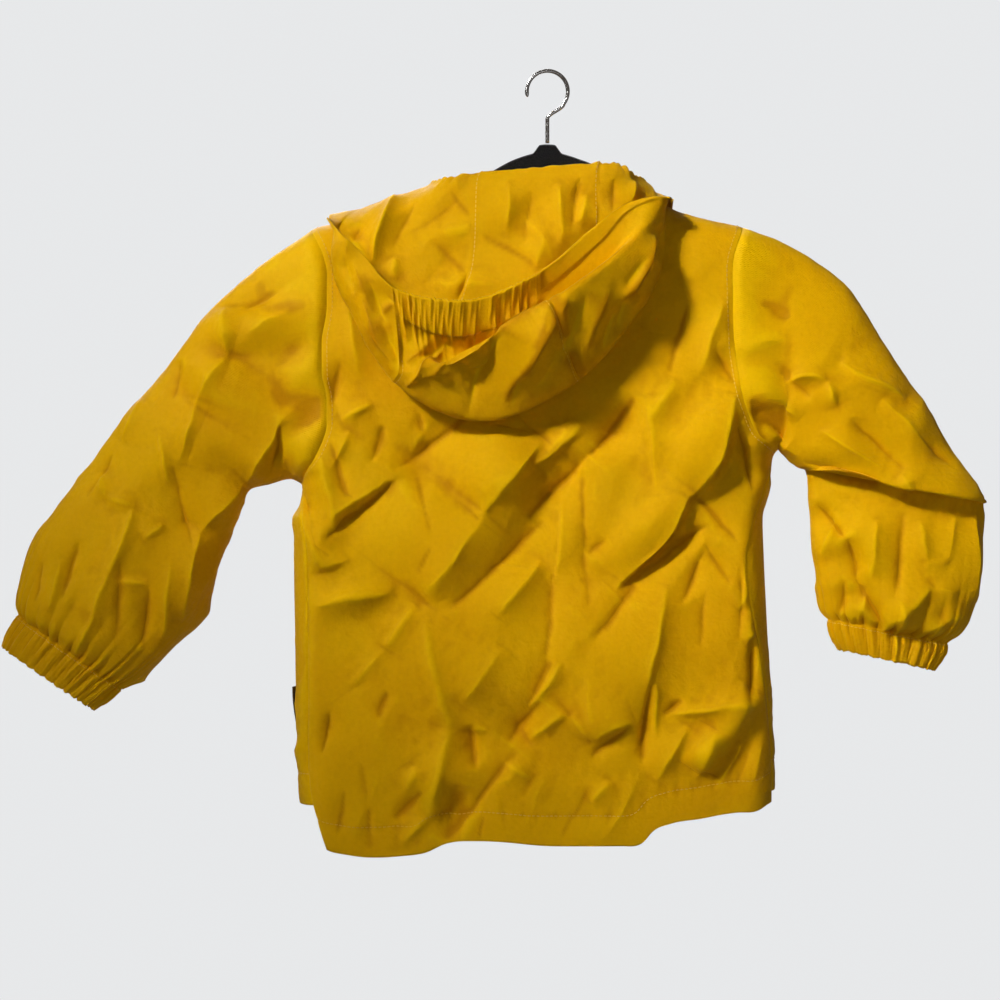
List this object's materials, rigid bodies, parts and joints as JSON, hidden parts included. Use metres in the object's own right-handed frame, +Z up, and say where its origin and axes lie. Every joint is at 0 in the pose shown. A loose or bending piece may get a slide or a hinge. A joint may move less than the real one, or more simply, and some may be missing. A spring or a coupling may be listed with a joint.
{
  "type": "kids raincoat on a hanger",
  "caption": "Child's hooded raincoat with gathered cuffs and a press-stud front, hanging on a slim velvet hanger with a wire hook.",
  "frame": {"origin": "inside top of the hanger's hook, where a rail holds it", "axes": "+Z up, the coat's back faces -Y, +X along the shoulders to the right as its back is seen"},
  "size_m": [0.7982, 0.1317, 0.6345],
  "materials": {
    "coat_cloth": "golden-yellow proofed woven cloth, soft sheen",
    "tag_cloth": "dark woven tape",
    "stud_plastic": "satin",
    "hanger_velvet": "black flocked velvet over plastic",
    "hook_metal": "polished steel wire"
  },
  "bodies": {
    "root": {"back": "coat_cloth", "front_left": "coat_cloth", "front_right": "coat_cloth", "sleeve_left": "coat_cloth", "sleeve_right": "coat_cloth", "cuff_left": "coat_cloth", "cuff_right": "coat_cloth", "hood_left": "coat_cloth", "hood_centre": "coat_cloth", "hood_right": "coat_cloth", "hood_casing": "coat_cloth", "side_tag": "tag_cloth", "hanger_arms": "hanger_velvet", "hanger_hook": "hook_metal", "stud_1": "stud_plastic", "stud_2": "stud_plastic", "stud_3": "stud_plastic", "stud_4": "stud_plastic", "stud_5": "stud_plastic"}
  },
  "joints": []
}
